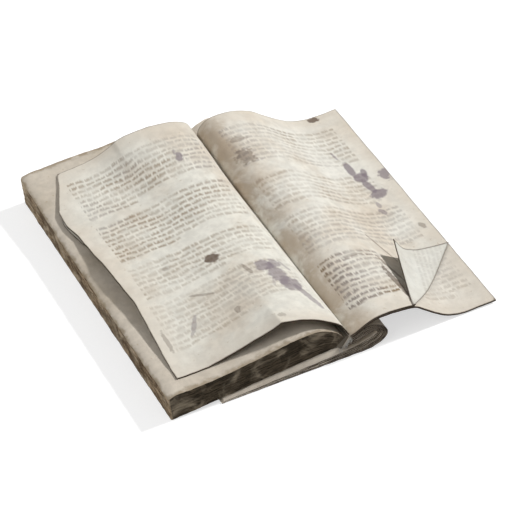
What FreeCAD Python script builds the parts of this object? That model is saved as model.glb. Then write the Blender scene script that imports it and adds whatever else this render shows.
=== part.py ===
import FreeCAD, Part
import math
import os

# An old open book that has lost its covers, lying face up. The front part of its pages has been
# folded right round and lies under the book, so the spine stands over a roll of curled leaves.
# Millimetres. The origin is on the table, straight below the middle of the gutter. +Y runs along
# the spine away from the reader, +X to the right-hand page and +Z up.
Vector = FreeCAD.Vector

# The left half: the thick stack of pages that is still flat.
block_height = 210.0           # along the spine
block_width = 111.7            # fore edge to the bound edge, along the stack's own base
bound_foot_reach = 8.76        # gutter to the lowest line of the stack's bound edge
bound_foot_height = 9.86       # and its height: the stack leans on the spine
near_fore_thickness = 17.6     # stack at the fore edge, reader's end
far_fore_thickness = 20.2      # the same at the far end, where the leaves have swollen
lift_start = 45.0              # the swelling begins this far past the middle
bound_thickness = 7.0          # the stack where it is pressed together at the spine
bound_inset = 5.0              # its lowest page stops this far short of the full width
bound_lean = 39.8              # degrees, the bound edge from the table
section_count = 6              # folded sections in the stack
groove_share = 0.12            # part of a section's thickness that is open at its cut edges
groove_depth = 1.0

# The right half that is turned under: a sheaf of leaves, curled round and back beneath the stack.
roll_reach = 24.2              # gutter to the outside of the roll
roll_height = 19.3             # table to the top of the roll
roll_bound_start = 0.5         # the outer leaf leaves the spine this far left of the gutter
roll_bound_top = 14.4          # and this high
roll_bound_depth = 4.5         # the same for the inner leaf
roll_bound_bottom = 8.2
flat_start = 9.3               # the outer leaf lies flat on the table from here to the left
tail_length = 84.0             # gutter to the loose edge of the leaves under the stack
tail_rise = 5.3                # sheaf thickness where it passes below the spine
tail_rise_start = 5.7
tail_end_thickness = 1.1       # pressed leaves at their loose edge
eye_reach = 16.9               # gutter to the bottom of the innermost fold
eye_height = 11.9              # table to the middle of the innermost fold
leaf_groups = 7                # leaves that stick together, counted through the sheaf
leaf_gap_share = 0.14          # part of a group's thickness that is air
root_thickness = 1.4           # glued strip that holds the leaf groups at the spine
slot_end = 9.0                 # the gaps close this far left of the gutter

# Single leaves over both halves.
leaf_height = 199.5            # trimmed shorter than the stack
left_leaf_reach = 112.0        # gutter to the end of the left sections
left_corner_share = 0.9455     # how much of it the near corner keeps
left_arch_height = 38.2        # table to the top of the left page's arch
right_leaf_reach = 99.8
right_arch_height = 30.8
chords_per_arc = 4             # straight chords that stand for each arc of a leaf
top_leaf_thickness = 0.9
second_leaf_thickness = 0.5
under_leaf_thickness = 0.6     # near the gutter
under_leaf_edge_thickness = 1.7   # a few leaves stuck together at the outer edge
leaf_clearance = 0.3           # loose leaves lie this far from what is under them
left_leaf_skew = 10.5          # the left leaf's near edge runs back this far at the fore edge
right_leaf_overhang = 2.2      # the right leaves stand out past the stack at the reader's end
fold_start_x = 41.3            # the folded corner: where the fold crosses the near edge
fold_end_x = 97.5              # and where it meets the fore edge
fold_end_y = -52.5
fold_tip_x = 57.0              # tip of the corner, from the gutter
fold_tip_height = 26.0         # and above the table
flap_sag = 7.4                 # the turned-up corner hangs hollow between fold and tip
flap_low_share = 0.38          # where it hangs lowest, from its free edge to the fold
flap_section_count = 5
flap_start_width = 1.6         # of the flap where the fold begins
flap_start_inset = 3.0         # the flap joins the fold this far from the near edge
fold_inset = 0.4               # the fold's rounding
under_leaf_gap = 0.4           # between the two right-hand leaves, measured straight down

# The glued cloth at the spine, and the cords under it.
lining_thickness = 0.8
lip_width = 3.0                # how far it still covers the stack's underside
cord_count = 3
cord_pitch = 70.0              # along the spine
cord_width = 2.6
cord_thickness = 0.9
cord_clearance = 0.1

near_end = -block_height / 2
far_end = block_height / 2
right_near = near_end - right_leaf_overhang
right_far = right_near + leaf_height


def blend(a, b, share):
    return a + (b - a) * share


def arc_edges(points):
    """Arcs that follow one another, each through three of the points."""
    return [
        Part.Arc(*points[index:index + 3]).toShape()
        for index in range(0, len(points) - 2, 2)
    ]


def line_edge(start, end):
    return Part.LineSegment(start, end).toShape()


def prism(points, low, high):
    corners = [Vector(x, y, low) for x, y in points]
    wire = Part.makePolygon(corners + corners[:1])
    return Part.Face(wire).extrude(Vector(0, 0, high - low))


# The stack's upper face in its own base line: share of its width from the fore edge, and its height
# above the base in shares of the fore edge's thickness, at the reader's end and at the far end. It
# swells near the spine and rolls down to the binding.
stack_top = [
    (0.010, 1.000, 1.000), (0.152, 0.989, 1.025), (0.295, 0.977, 1.020), (0.510, 1.040, 0.931),
    (0.725, 1.131, 0.950), (0.806, 1.125, 0.950), (0.868, 1.040, 0.891), (0.922, 0.852, 0.743),
    (0.970, 0.574, 0.500),
]


def stack_point(along, height, y):
    turn = math.asin(bound_foot_height / (block_width - bound_inset))
    back = block_width - bound_inset - along
    x = -bound_foot_reach - back * math.cos(turn) - height * math.sin(turn)
    z = along * math.sin(turn) + height * math.cos(turn)
    return Vector(x, y, z)


def bound_bottom(y):
    return Vector(-bound_foot_reach, y, bound_foot_height)


def bound_top(y):
    lean = math.radians(bound_lean)
    low = bound_bottom(y)
    return Vector(low.x + bound_thickness * math.cos(lean), y, low.z + bound_thickness * math.sin(lean))


def stack_line(level, y, start):
    """Points across the stack from its fore edge at one level: 0 is its base and 1 its top."""
    far_share = max(0.0, (y - lift_start) / (far_end - lift_start))
    bound = bound_bottom(y) + (bound_top(y) - bound_bottom(y)) * level
    points = []
    for share, near, far in stack_top:
        foot = (block_width - bound_inset) * share if points else 0
        along = blend(foot, block_width * share, level)
        height = blend(near_fore_thickness * near, far_fore_thickness * far, far_share) * level
        points.append(stack_point(max(along, start), height, y))
    return points + [bound]


def stack_slab(low, high, inset):
    """The stack between two levels, held back from its three cut edges by an inset."""
    wires = []
    for y in (near_end + inset, lift_start, far_end - inset):
        lower = stack_line(low, y, inset)
        upper = stack_line(high, y, inset)
        wires.append(Part.makePolygon(lower + upper[::-1] + lower[:1]))
    return Part.makeLoft(wires, True, True)


def page_block():
    level = 1 / section_count
    core = stack_slab(level / 2, 1 - level / 2, groove_depth)
    gap = level * groove_share
    slabs = [
        stack_slab(level * index + (gap if index else 0), level * (index + 1), 0)
        for index in range(section_count)
    ]
    return core.fuse(slabs).removeSplitter()


# The turned-under sheaf: the outer and the inner leaf's path from the spine round the fold to
# where each lies flat. Every leaf group between them is a blend of the two.
# The bends are given in shares of the roll's reach and height, and of the innermost fold's.
outer_bend = [(0.223, 0.896), (0.471, 1.0), (0.686, 0.927), (0.884, 0.751), (1.0, 0.487), (0.934, 0.238)]
inner_bend = [(0.249, 0.824), (0.568, 1.017), (0.793, 1.109), (0.935, 1.109), (1.0, 1.0), (0.941, 0.882),
              (0.704, 0.697)]


def outer_path():
    bend = [Vector(roll_reach * x, 0, roll_height * z) for x, z in outer_bend]
    side = bend[-1]
    run = side.x - flat_start
    radius = (run ** 2 + side.z ** 2) / (2 * side.z)
    half_turn = math.asin(run / radius) / 2
    middle = Vector(flat_start + radius * math.sin(half_turn), 0, radius * (1 - math.cos(half_turn)))
    return [Vector(-roll_bound_start, 0, roll_bound_top)] + bend + [middle, Vector(flat_start, 0, 0)]


def inner_path():
    bend = [Vector(eye_reach * x, 0, eye_height * z) for x, z in inner_bend]
    start = Vector(-roll_bound_depth, 0, roll_bound_bottom)
    return [start] + bend + [Vector(-tail_rise_start, 0, tail_rise)]


def sheaf_path(share):
    return [blend(a, b, share) for a, b in zip(outer_path(), inner_path())]


def tail_point(share):
    return Vector(-tail_length, 0, tail_end_thickness * share)


def slot_wire(share):
    """One curved gap between two leaf groups, closed at the spine and below the stack."""
    half = leaf_gap_share / leaf_groups / 2
    sides = []
    for level in (share - half, share + half):
        path = sheaf_path(level)
        outward = path[1] - path[0]
        path[0] = path[0] + outward * (root_thickness / outward.Length)
        run = tail_point(level) - path[-1]
        reach = (path[-1].x + slot_end) / (path[-1].x - tail_point(level).x)
        sides.append((path, path[-1] + run * reach))
    (first, first_end), (second, second_end) = sides
    return Part.Wire(
        arc_edges(first)
        + [line_edge(first[-1], first_end), line_edge(first_end, second_end)]
        + [line_edge(second_end, second[-1])]
        + arc_edges(second[::-1])
        + [line_edge(second[0], first[0])]
    )


def turned_under_pages():
    outer = sheaf_path(0.0)
    inner = sheaf_path(1.0)
    outline = Part.Wire(
        arc_edges(outer)
        + [line_edge(outer[-1], tail_point(0.0)), line_edge(tail_point(0.0), tail_point(1.0))]
        + [line_edge(tail_point(1.0), inner[-1])]
        + arc_edges(inner[::-1])
        + [line_edge(inner[0], outer[0])]
    )
    section = Part.Face(outline)
    for index in range(1, leaf_groups):
        section = section.cut(Part.Face(slot_wire(index / leaf_groups)))
    section.translate(Vector(0, near_end, 0))
    return section.extrude(Vector(0, block_height, 0))


# What is left of the glued cloth at the spine: it fills the wedge between the two bound edges,
# rounds under them and keeps a narrow lip under the stack.
def lining_underside():
    """The three points that the lining's rounded underside passes through."""
    root_low = inner_path()[0]
    belly = Vector((bound_bottom(0).x + root_low.x) / 2, 0, root_low.z - lining_thickness)
    lip_low = stack_point(block_width - bound_inset - lip_width, -lining_thickness, 0)
    return [root_low, belly, lip_low]


def spine_lining():
    block_low = bound_bottom(0)
    block_high = bound_top(0)
    root_high = outer_path()[0]
    root_low, belly, lip_low = lining_underside()
    lip_start = stack_point(block_width - bound_inset - lip_width, 0, 0)
    section = Part.Face(Part.Wire([
        line_edge(lip_start, block_low),
        line_edge(block_low, block_high),
        line_edge(block_high, root_high),
        line_edge(root_high, root_low),
        Part.Arc(root_low, belly, lip_low).toShape(),
        line_edge(lip_low, lip_start),
    ]))
    section.translate(Vector(0, near_end, 0))
    return section.extrude(Vector(0, block_height, 0))


# The cords that the sections were sewn round cross the spine under the lining.
def sewing_cord(place):
    inner = [point - Vector(0, 0, cord_clearance) for point in lining_underside()]
    outer = [point - Vector(0, 0, cord_thickness) for point in inner]
    section = Part.Face(Part.Wire([
        Part.Arc(*inner).toShape(),
        line_edge(inner[-1], outer[-1]),
        Part.Arc(*outer[::-1]).toShape(),
        line_edge(outer[0], inner[0]),
    ]))
    section.translate(Vector(0, place - cord_width / 2, 0))
    return section.extrude(Vector(0, cord_width, 0))


# A leaf is a curved sheet, drawn through sections across the page, and trimmed to its outline as
# seen from above. A section is its place along the leaves and points on its upper face, two for
# each arc, in shares of the page's reach and of its arch's height.
def chorded(points):
    """Arcs through each three of the points in turn, as short straight chords."""
    line = [points[0]]
    for index in range(0, len(points) - 2, 2):
        arc = Part.Arc(*points[index:index + 3]).toShape()
        line += arc.discretize(chords_per_arc + 1)[1:]
    return line


def sheet_wire(upper, inner_thickness, outer_thickness):
    upper = chorded(upper)
    reach = abs(upper[-1].x)
    lower = [
        point - Vector(0, 0, blend(inner_thickness, outer_thickness, (point.x / reach) ** 2))
        for point in upper
    ]
    return Part.makePolygon(upper + lower[::-1] + upper[:1])


def leaf(table, outline, inner_thickness, outer_thickness, top_drop=0.0):
    sections, start, length, reach, arch = table
    wires = []
    for place, points in sections:
        upper = [Vector(reach * x, start + length * place, arch * z - top_drop) for x, z in points]
        wires.append(sheet_wire(upper, inner_thickness, outer_thickness))
    sheet = Part.makeLoft(wires, True, True)
    return sheet.common(prism(outline, -block_height, block_height))


def placed(table, outline):
    """Outline points given in shares of the page's reach and of a leaf's height."""
    _, start, _, reach, _ = table
    return [(reach * x, start + leaf_height * y) for x, y in outline]


# The left leaves arch over the stack: high at the reader's end, lower in the middle.
left_sections = [
    (0.0, [
        (-0.014, 0.416), (-0.034, 0.581), (-0.076, 0.717), (-0.170, 0.877), (-0.274, 0.976), (-0.367, 1.000),
        (-0.473, 0.869), (-0.589, 0.725), (-0.714, 0.599), (-0.839, 0.521), (-1.000, 0.487)]),
    (0.214, [
        (-0.014, 0.416), (-0.035, 0.555), (-0.076, 0.681), (-0.170, 0.827), (-0.274, 0.906), (-0.367, 0.901),
        (-0.473, 0.812), (-0.589, 0.715), (-0.714, 0.639), (-0.839, 0.610), (-1.000, 0.628)]),
    (0.443, [
        (-0.014, 0.416), (-0.036, 0.534), (-0.076, 0.662), (-0.170, 0.783), (-0.274, 0.827), (-0.367, 0.809),
        (-0.473, 0.770), (-0.589, 0.715), (-0.714, 0.675), (-0.839, 0.678), (-1.000, 0.717)]),
    (0.667, [
        (-0.014, 0.416), (-0.036, 0.550), (-0.076, 0.696), (-0.170, 0.801), (-0.274, 0.835), (-0.367, 0.801),
        (-0.473, 0.715), (-0.589, 0.647), (-0.714, 0.618), (-0.839, 0.602), (-1.000, 0.592)]),
    (0.881, [
        (-0.014, 0.416), (-0.032, 0.589), (-0.076, 0.801), (-0.170, 0.895), (-0.274, 0.929), (-0.367, 0.903),
        (-0.473, 0.822), (-0.589, 0.686), (-0.714, 0.641), (-0.839, 0.613), (-1.000, 0.586)]),
    (1.0, [
        (-0.014, 0.416), (-0.027, 0.589), (-0.071, 0.812), (-0.170, 0.940), (-0.274, 0.979), (-0.367, 0.974),
        (-0.473, 0.911), (-0.589, 0.754), (-0.714, 0.670), (-0.839, 0.634), (-1.000, 0.613)]),
]


left_pages = (left_sections, near_end, block_height, left_leaf_reach, left_arch_height)


def left_top_leaf():
    outline = placed(left_pages, [
        (-0.929, 0.226), (-0.941, 0.466), (-0.957, 0.702), (-0.979, 0.762), (-0.973, 0.830),
        (-0.934, 0.884), (-0.891, 0.939), (-0.858, 1.0), (-0.014, 1.0), (-0.014, 0.0)])
    corner = (-left_leaf_reach * left_corner_share, near_end + left_leaf_skew)
    return leaf(left_pages, outline + [corner], top_leaf_thickness, top_leaf_thickness)


def left_second_leaf():
    outline = placed(left_pages, [
        (-0.025, 0.115), (-0.924, 0.125), (-0.950, 0.426), (-0.977, 0.677), (-0.991, 0.787),
        (-0.929, 0.857), (-0.025, 0.867)])
    drop = top_leaf_thickness + leaf_clearance
    return leaf(left_pages, outline, second_leaf_thickness, second_leaf_thickness, drop)


# The right leaves stand up from the gutter, pass over the roll and droop to the table.
right_sections = [
    (0.0, [
        (-0.009, 0.510), (0.006, 0.565), (0.042, 0.643), (0.101, 0.747), (0.178, 0.815), (0.296, 0.808),
        (0.414, 0.753), (0.486, 0.584), (0.561, 0.390), (0.646, 0.208), (0.746, 0.114), (0.862, 0.104),
        (0.987, 0.127)]),
    (0.337, [
        (-0.010, 0.513), (0.003, 0.594), (0.038, 0.701), (0.094, 0.812), (0.164, 0.880), (0.286, 0.864),
        (0.395, 0.744), (0.475, 0.571), (0.555, 0.386), (0.643, 0.214), (0.746, 0.110), (0.864, 0.104),
        (0.992, 0.123)]),
    (0.688, [
        (-0.012, 0.532), (-0.003, 0.640), (0.024, 0.766), (0.074, 0.883), (0.144, 0.948), (0.266, 0.922),
        (0.379, 0.776), (0.463, 0.578), (0.549, 0.386), (0.641, 0.214), (0.746, 0.110), (0.866, 0.101),
        (0.996, 0.120)]),
    (1.0, [
        (-0.013, 0.552), (-0.008, 0.682), (0.009, 0.818), (0.052, 0.948), (0.120, 1.000), (0.241, 0.971),
        (0.365, 0.818), (0.453, 0.610), (0.545, 0.393), (0.639, 0.214), (0.746, 0.107), (0.867, 0.097),
        (1.000, 0.117)]),
]


right_pages = (right_sections, right_near, leaf_height, right_leaf_reach, right_arch_height)


def fold_x(y):
    """The straight fold of the turned-up corner, seen from above."""
    return blend(fold_start_x, fold_end_x, (y - right_near) / (fold_end_y - right_near))


def upper_height(solid, x, y):
    """Height of a leaf's upper face at one place."""
    probe = line_edge(Vector(x, y, 0), Vector(x, y, block_height))
    return solid.common(probe).BoundBox.ZMax


def flap_section(sheet, y):
    """Across the turned-up corner: its free edge, its sag, and the fold, inside the leaf."""
    share = (y - right_near) / (fold_end_y - right_near)
    fold = Vector(fold_x(y) - fold_inset, y, 0)
    fold.z = upper_height(sheet, fold.x, y) - top_leaf_thickness / 4
    start_height = upper_height(sheet, fold_start_x - fold_inset, right_near + fold_inset)
    free = Vector(
        blend(fold_start_x - flap_start_width, fold_tip_x, share), y,
        blend(start_height + top_leaf_thickness + leaf_clearance, fold_tip_height, share),
    )
    middle = free + (fold - free) * flap_low_share
    lowest = upper_height(sheet, middle.x, y) + top_leaf_thickness + leaf_clearance
    middle.z = max(middle.z - flap_sag * share, lowest)
    return sheet_wire([free, middle, fold], top_leaf_thickness, top_leaf_thickness / 2)


def right_top_leaf():
    outline = placed(right_pages, [(0.993, 1.0), (-0.017, 1.0), (-0.017, 0.01), (0.02, 0.0)])
    outline += [(fold_start_x, right_near), (fold_end_x, fold_end_y)]
    sheet = leaf(right_pages, outline, top_leaf_thickness, top_leaf_thickness)
    first = right_near + flap_start_inset
    last = fold_end_y - fold_inset * 2
    wires = [
        flap_section(sheet, blend(first, last, index / (flap_section_count - 1)))
        for index in range(flap_section_count)
    ]
    return sheet.fuse(Part.makeLoft(wires, True, True))


def right_under_leaf():
    outline = placed(right_pages, [
        (0.01, 0.015), (0.04, 0.002), (0.978, 0.002), (0.988, 0.995), (0.01, 0.995)])
    drop = top_leaf_thickness + under_leaf_gap
    return leaf(right_pages, outline, under_leaf_thickness, under_leaf_edge_thickness, drop)


os.makedirs("parts", exist_ok=True)
pieces = {
    "page_block": page_block(),
    "turned_under_pages": turned_under_pages(),
    "spine_lining": spine_lining(),
    "left_top_leaf": left_top_leaf(),
    "left_second_leaf": left_second_leaf(),
    "right_top_leaf": right_top_leaf(),
    "right_under_leaf": right_under_leaf(),
}
for index in range(cord_count):
    place = cord_pitch * (index - (cord_count - 1) / 2)
    pieces[f"sewing_cord_{index + 1}"] = sewing_cord(place)
for name, shape in pieces.items():
    solids = shape.Solids
    print(name, "solids", len(solids), "volume", round(shape.Volume), "valid", shape.isValid())
    shape.exportStep(f"parts/{name}.step")
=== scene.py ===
import bpy
import math
import random
import numpy as np
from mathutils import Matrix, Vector, noise


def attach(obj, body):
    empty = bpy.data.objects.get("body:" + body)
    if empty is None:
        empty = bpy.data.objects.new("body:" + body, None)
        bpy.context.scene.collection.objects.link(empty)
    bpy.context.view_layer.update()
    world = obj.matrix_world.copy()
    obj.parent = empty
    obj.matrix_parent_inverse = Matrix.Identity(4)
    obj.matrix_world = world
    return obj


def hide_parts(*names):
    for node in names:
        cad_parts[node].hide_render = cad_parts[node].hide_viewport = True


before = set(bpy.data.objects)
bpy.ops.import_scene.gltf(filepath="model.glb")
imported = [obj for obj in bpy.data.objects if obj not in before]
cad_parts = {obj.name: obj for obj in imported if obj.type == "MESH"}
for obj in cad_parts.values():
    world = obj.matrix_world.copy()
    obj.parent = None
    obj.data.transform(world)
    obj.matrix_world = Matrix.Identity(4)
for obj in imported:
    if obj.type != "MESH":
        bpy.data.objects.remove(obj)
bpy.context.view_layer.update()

# An old open book without its covers. Its front pages are folded right round and lie under it.
# Everything below is in millimetres and is scaled to metres when a mesh is made.
mm = 0.001
random.seed(7)


# The camera looks down on the reader's end from the left, through a long lens.
camera_data = bpy.data.cameras.new("camera")
camera_data.lens = 161.72
camera_data.sensor_width = 36.0
camera_data.clip_end = 20.0
camera = bpy.data.objects.new("camera", camera_data)
camera.location = (-0.4816, -0.9159, 0.9478)
look_down, look_round = 42.75, -27.4
camera.rotation_euler = (math.radians(90 - look_down), 0, math.radians(look_round))
bpy.context.scene.collection.objects.link(camera)
bpy.context.scene.camera = camera
bpy.context.scene.view_settings.view_transform = "Standard"

# Light: a low clear lamp from the right, a weak wide one from the left, and an even pale sky.
for name, energy, width, towards in (("lamp", 2.9, 5, (1.05, 0.03, 1.0)),
                                     ("fill", 1.0, 50, (-0.9, -0.15, 1.0))):
    lamp_data = bpy.data.lights.new(name, "SUN")
    lamp_data.energy = energy
    lamp_data.angle = math.radians(width)
    lamp = bpy.data.objects.new(name, lamp_data)
    lamp.rotation_euler = Vector(towards).to_track_quat("Z", "Y").to_euler()
    bpy.context.scene.collection.objects.link(lamp)

world = bpy.data.worlds.new("sky")
bpy.context.scene.world = world
world.use_nodes = True
sky = world.node_tree
sky.nodes.clear()


def add(tree, kind, into=None, **settings):
    """A node of this kind. into gives its inputs, each a plain value or a socket to link."""
    node = tree.nodes.new(kind)
    for name, value in settings.items():
        setattr(node, name, value)
    for key, value in (into or {}).items():
        socket = node.inputs[key]
        if isinstance(value, bpy.types.NodeSocket):
            tree.links.new(value, socket)
        else:
            socket.default_value = value
    return node


def seen_directly(tree):
    """1 for what the camera sees, also in gloss or through glass, and 0 for light that falls."""
    path = add(tree, "ShaderNodeLightPath")
    first = add(tree, "ShaderNodeMath", {0: path.outputs["Is Camera Ray"],
                                         1: path.outputs["Is Glossy Ray"]}, operation="MAXIMUM")
    both = add(tree, "ShaderNodeMath", {0: first.outputs[0],
                                        1: path.outputs["Is Transmission Ray"]},
               operation="MAXIMUM")
    return both.outputs[0]


sky_light = 0.3
strength = add(sky, "ShaderNodeMapRange", {"Value": seen_directly(sky), "To Min": sky_light,
                                           "To Max": 1.0})
background = add(sky, "ShaderNodeBackground", {"Color": (1, 1, 1, 1),
                                               "Strength": strength.outputs[0]})
add(sky, "ShaderNodeOutputWorld", {"Surface": background.outputs[0]})

# The table is a plain white sheet that keeps a faint shadow.
floor_reach = 3.0
floor_below = 0.0002
floor_tone = 0.55
floor_glow = 0.6
floor_mesh = bpy.data.meshes.new("floor")
floor_mesh.from_pydata(
    [(-floor_reach, -floor_reach, 0), (floor_reach, -floor_reach, 0),
     (floor_reach, floor_reach, 0), (-floor_reach, floor_reach, 0)], [], [(0, 1, 2, 3)])
floor = bpy.data.objects.new("floor", floor_mesh)
floor.location.z = -floor_below
bpy.context.scene.collection.objects.link(floor)
white = bpy.data.materials.new("white_floor")
white.use_nodes = True
white_nodes = white.node_tree
white_nodes.nodes.clear()
matt = add(white_nodes, "ShaderNodeBsdfDiffuse", {
    "Color": (floor_tone, floor_tone, floor_tone, 1)})
glow = add(white_nodes, "ShaderNodeEmission", {
    "Color": (1, 1, 1, 1),
    "Strength": add(white_nodes, "ShaderNodeMath", {0: seen_directly(white_nodes), 1: floor_glow},
                    operation="MULTIPLY").outputs[0]})
both = add(white_nodes, "ShaderNodeAddShader", {0: matt.outputs[0], 1: glow.outputs[0]})
add(white_nodes, "ShaderNodeOutputMaterial", {"Surface": both.outputs[0]})
floor_mesh.materials.append(white)


# The flat half of the book: a few hundred thin leaves in one stack, glued along the spine, where
# they swell. The cut edges are dark with handling, and the leaves stand in and out a little.
stack_base = 106.7              # fore edge to the bound edge, along the stack's lowest page
stack_reach = 112.47            # the same along its top
stack_fore = -115.0             # the fore edge's foot, from the gutter
stack_tilt = math.radians(5.3)
stack_ends = (-105.0, 105.0)
stack_layers = 34
section_layers = 6              # layers in one folded section
stack_gap_share = 0.1           # of a layer's thickness that is open at each side
stack_stand = 0.5               # the most that a layer stands in
seam_depth = 1.1                # groove between two folded sections, and between two layers
layer_groove = 0.45
worn_corner = 2.6
edge_wander = 0.25              # slow and quick wander of the cut edges, and of the layers' heights
edge_flutter = 0.22
layer_wave = 0.35
level_marks = 18                # the edge map's count from the lowest to the top page
top_profile = [                 # along the top, height at the reader's end and at the far end
    (0, 17.0, 19.7), (1.2, 17.6, 20.2), (17, 17.4, 20.7), (33, 17.2, 20.6), (57, 18.3, 18.8),
    (81, 19.9, 19.2), (90, 19.8, 19.2), (97, 18.3, 18.0), (103, 15.0, 15.0), (108.4, 10.1, 10.1),
    (stack_reach, 3.97, 3.97),
]
swelling = (45.0, 105.0)        # the far end's height is reached between these places


def smooth(knots, values, place):
    """A smooth curve through the values at the knots, read at one place."""
    knots = np.asarray(knots, float)
    values = np.asarray(values, float)
    slopes = np.gradient(values, knots, axis=0)
    low = int(np.clip(np.searchsorted(knots, place) - 1, 0, len(knots) - 2))
    span = knots[low + 1] - knots[low]
    t = (place - knots[low]) / span
    return ((1 + 2 * t) * (1 - t) ** 2 * values[low] + t * (1 - t) ** 2 * span * slopes[low]
            + t * t * (3 - 2 * t) * values[low + 1] + t * t * (t - 1) * span * slopes[low + 1])


def ripple(*place):
    """Soft random height between about -1 and 1."""
    return noise.noise(Vector(place))


def ease(low, high, value):
    share = min(1.0, max(0.0, (value - low) / (high - low)))
    return share * share * (3 - 2 * share)


def stack_place(along, height, y):
    """A place in the leaning stack, as a point over the table."""
    return (stack_fore + along * math.cos(stack_tilt) - height * math.sin(stack_tilt), y,
            along * math.sin(stack_tilt) + height * math.cos(stack_tilt))


def stack_height(along, y):
    near, far = smooth([row[0] for row in top_profile], [row[1:] for row in top_profile], along)
    return near + (far - near) * ease(*swelling, y)


def stack_ring():
    """Round the stack once: place, outward direction and distance run, counter-clockwise."""
    near, far = stack_ends
    ring = [((along, near), (0, -1)) for along in np.linspace(1.0, stack_reach - 0.6, 76)]
    ring += [((stack_reach, y), (1, 0)) for y in np.linspace(near + 0.6, far - 0.6, 40)]
    ring += [((along, far), (0, 1)) for along in np.linspace(stack_reach - 0.6, worn_corner, 70)]
    for step in range(1, 8):
        turn = math.pi / 2 * (1 + step / 8)
        out = (math.cos(turn), math.sin(turn))
        ring.append(((worn_corner + worn_corner * out[0], far - worn_corner + worn_corner * out[1]),
                     out))
    ring += [((0, y), (-1, 0)) for y in np.linspace(far - worn_corner, near + 1.0, 120)]
    ring.append(((0.3, near + 0.3), (-0.7, -0.7)))
    runs = [0.0]
    for (a, _), (b, _) in zip(ring, ring[1:]):
        runs.append(runs[-1] + math.dist(a, b))
    return [(place, out, run) for (place, out), run in zip(ring, runs)]


def make_piece(name, points, faces, materials, face_slots=None, maps=None, node=None):
    """A smooth-shaded mesh piece in millimetres that rides on the book."""
    crisp_from = math.radians(48)
    mesh = bpy.data.meshes.new(name)
    mesh.from_pydata([tuple(c * mm for c in point) for point in points], [], faces)
    for material in materials:
        mesh.materials.append(material)
    if face_slots is not None:
        mesh.polygons.foreach_set("material_index", face_slots)
    for map_name, values in (maps or {}).items():
        layer = mesh.attributes.new(map_name, "FLOAT_VECTOR", "POINT")
        layer.data.foreach_set("vector", np.asarray(values, float).ravel())
    mesh.polygons.foreach_set("use_smooth", [True] * len(faces))
    mesh.update()
    mesh.set_sharp_from_angle(angle=crisp_from)
    piece = bpy.data.objects.new(name, mesh)
    bpy.context.scene.collection.objects.link(piece)
    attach(piece, "root")
    if node:
        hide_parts(node)
    return piece


def stack_rows():
    """Rows of points round the stack from its base to its top, each with level and inset."""
    rows = []
    for layer in range(stack_layers):
        stands_in = stack_stand * random.random() ** 2
        seam = layer % section_layers == 0 and layer > 0
        low, high = layer / stack_layers, (layer + 1) / stack_layers
        gap = (high - low) * stack_gap_share
        if layer:
            rows.append((low, stands_in, seam_depth if seam else layer_groove, layer))
        rows.append((low + gap, stands_in, 0.0, layer))
        rows.append((high - gap if layer < stack_layers - 1 else high, stands_in, 0.0, layer))
    return rows


def band(start, count):
    """The faces between one ring of points, which begins at start, and the next."""
    faces = []
    for step in range(count):
        a, b = start + step, start + (step + 1) % count
        faces.append((a, b, b + count, a + count))
    return faces


def build_stack():
    points, edge_map, faces, slots = [], [], [], []
    ring = stack_ring()
    count = len(ring)
    for level, stands_in, groove, layer in stack_rows():
        for (along, y), out, run in ring:
            inset = stands_in + groove + edge_wander * ripple(run / 9, layer * 0.8, 3.1)
            inset += edge_flutter * ripple(run / 2.2, layer * 1.9, 0.4)
            wave = 0
            if 0.05 < level < 0.99:
                wave = layer_wave * ripple(run / 14, level * 3, 8.0) * level * (1 - level) * 4
            height = level * stack_height(along, y) + wave
            base = along * (stack_base + (stack_reach - stack_base) * level) / stack_reach
            points.append(stack_place(base - out[0] * inset, height, y - out[1] * inset))
            edge_map.append((run, level * level_marks, 0.0))
    rows = len(points) // count
    for row in range(rows - 1):
        faces += band(row * count, count)
        slots += [2 if out[0] < -0.5 else 0 for _, out, _ in ring]
    faces.append(tuple(range(count))[::-1])
    slots.append(0)
    middle = stack_reach / 2
    shrink_steps = [0.992, 0.975, 0.955, 0.92, 0.86, 0.78, 0.68, 0.56, 0.42, 0.26, 0.1]
    for shrink in shrink_steps:
        for (along, y), _, run in ring:
            a, b = middle + (along - middle) * shrink, y * shrink
            points.append(stack_place(a, stack_height(a, b), b))
            edge_map.append((run, level_marks, (1 - shrink) * stack_reach / 2))
    for row in range(rows - 1, rows - 1 + len(shrink_steps)):
        faces += band(row * count, count)
        slots += [1] * count
    last = (rows - 1 + len(shrink_steps)) * count
    faces.append(tuple(range(last, last + count)))
    slots.append(1)
    return points, faces, slots, edge_map


def new_group(name, inputs, outputs):
    """An empty shader group. Each input's kind follows from its starting value."""
    group = bpy.data.node_groups.new(name, "ShaderNodeTree")
    for label, value in inputs.items():
        kind = {1: "Float", 3: "Vector", 4: "Color"}[np.size(value)]
        socket = group.interface.new_socket(label, in_out="INPUT", socket_type="NodeSocket" + kind)
        socket.default_value = value
    for label in outputs:
        kind = "Color" if label == "Color" else "Float"
        group.interface.new_socket(label, in_out="OUTPUT", socket_type="NodeSocket" + kind)
    return group, add(group, "NodeGroupInput").outputs


def calc(tree, operation, a, b=0.0, clamp=False):
    node = add(tree, "ShaderNodeMath", {0: a, 1: b}, operation=operation, use_clamp=clamp)
    return node.outputs[0]


def plus(tree, a, b):
    return calc(tree, "ADD", a, b)


def minus(tree, a, b):
    return calc(tree, "SUBTRACT", a, b)


def times(tree, a, b, clamp=False):
    return calc(tree, "MULTIPLY", a, b, clamp)


def mix_colour(tree, share, a, b, blend="MIX"):
    node = add(tree, "ShaderNodeMix", {"Factor": share, 6: a, 7: b}, data_type="RGBA",
               blend_type=blend)
    return node.outputs[2]


def step_up(tree, value, low, high, to_min=0.0, to_max=1.0):
    node = add(tree, "ShaderNodeMapRange", {"Value": value, "From Min": low, "From Max": high,
                                            "To Min": to_min, "To Max": to_max},
               interpolation_type="SMOOTHSTEP")
    return node.outputs[0]


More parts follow.
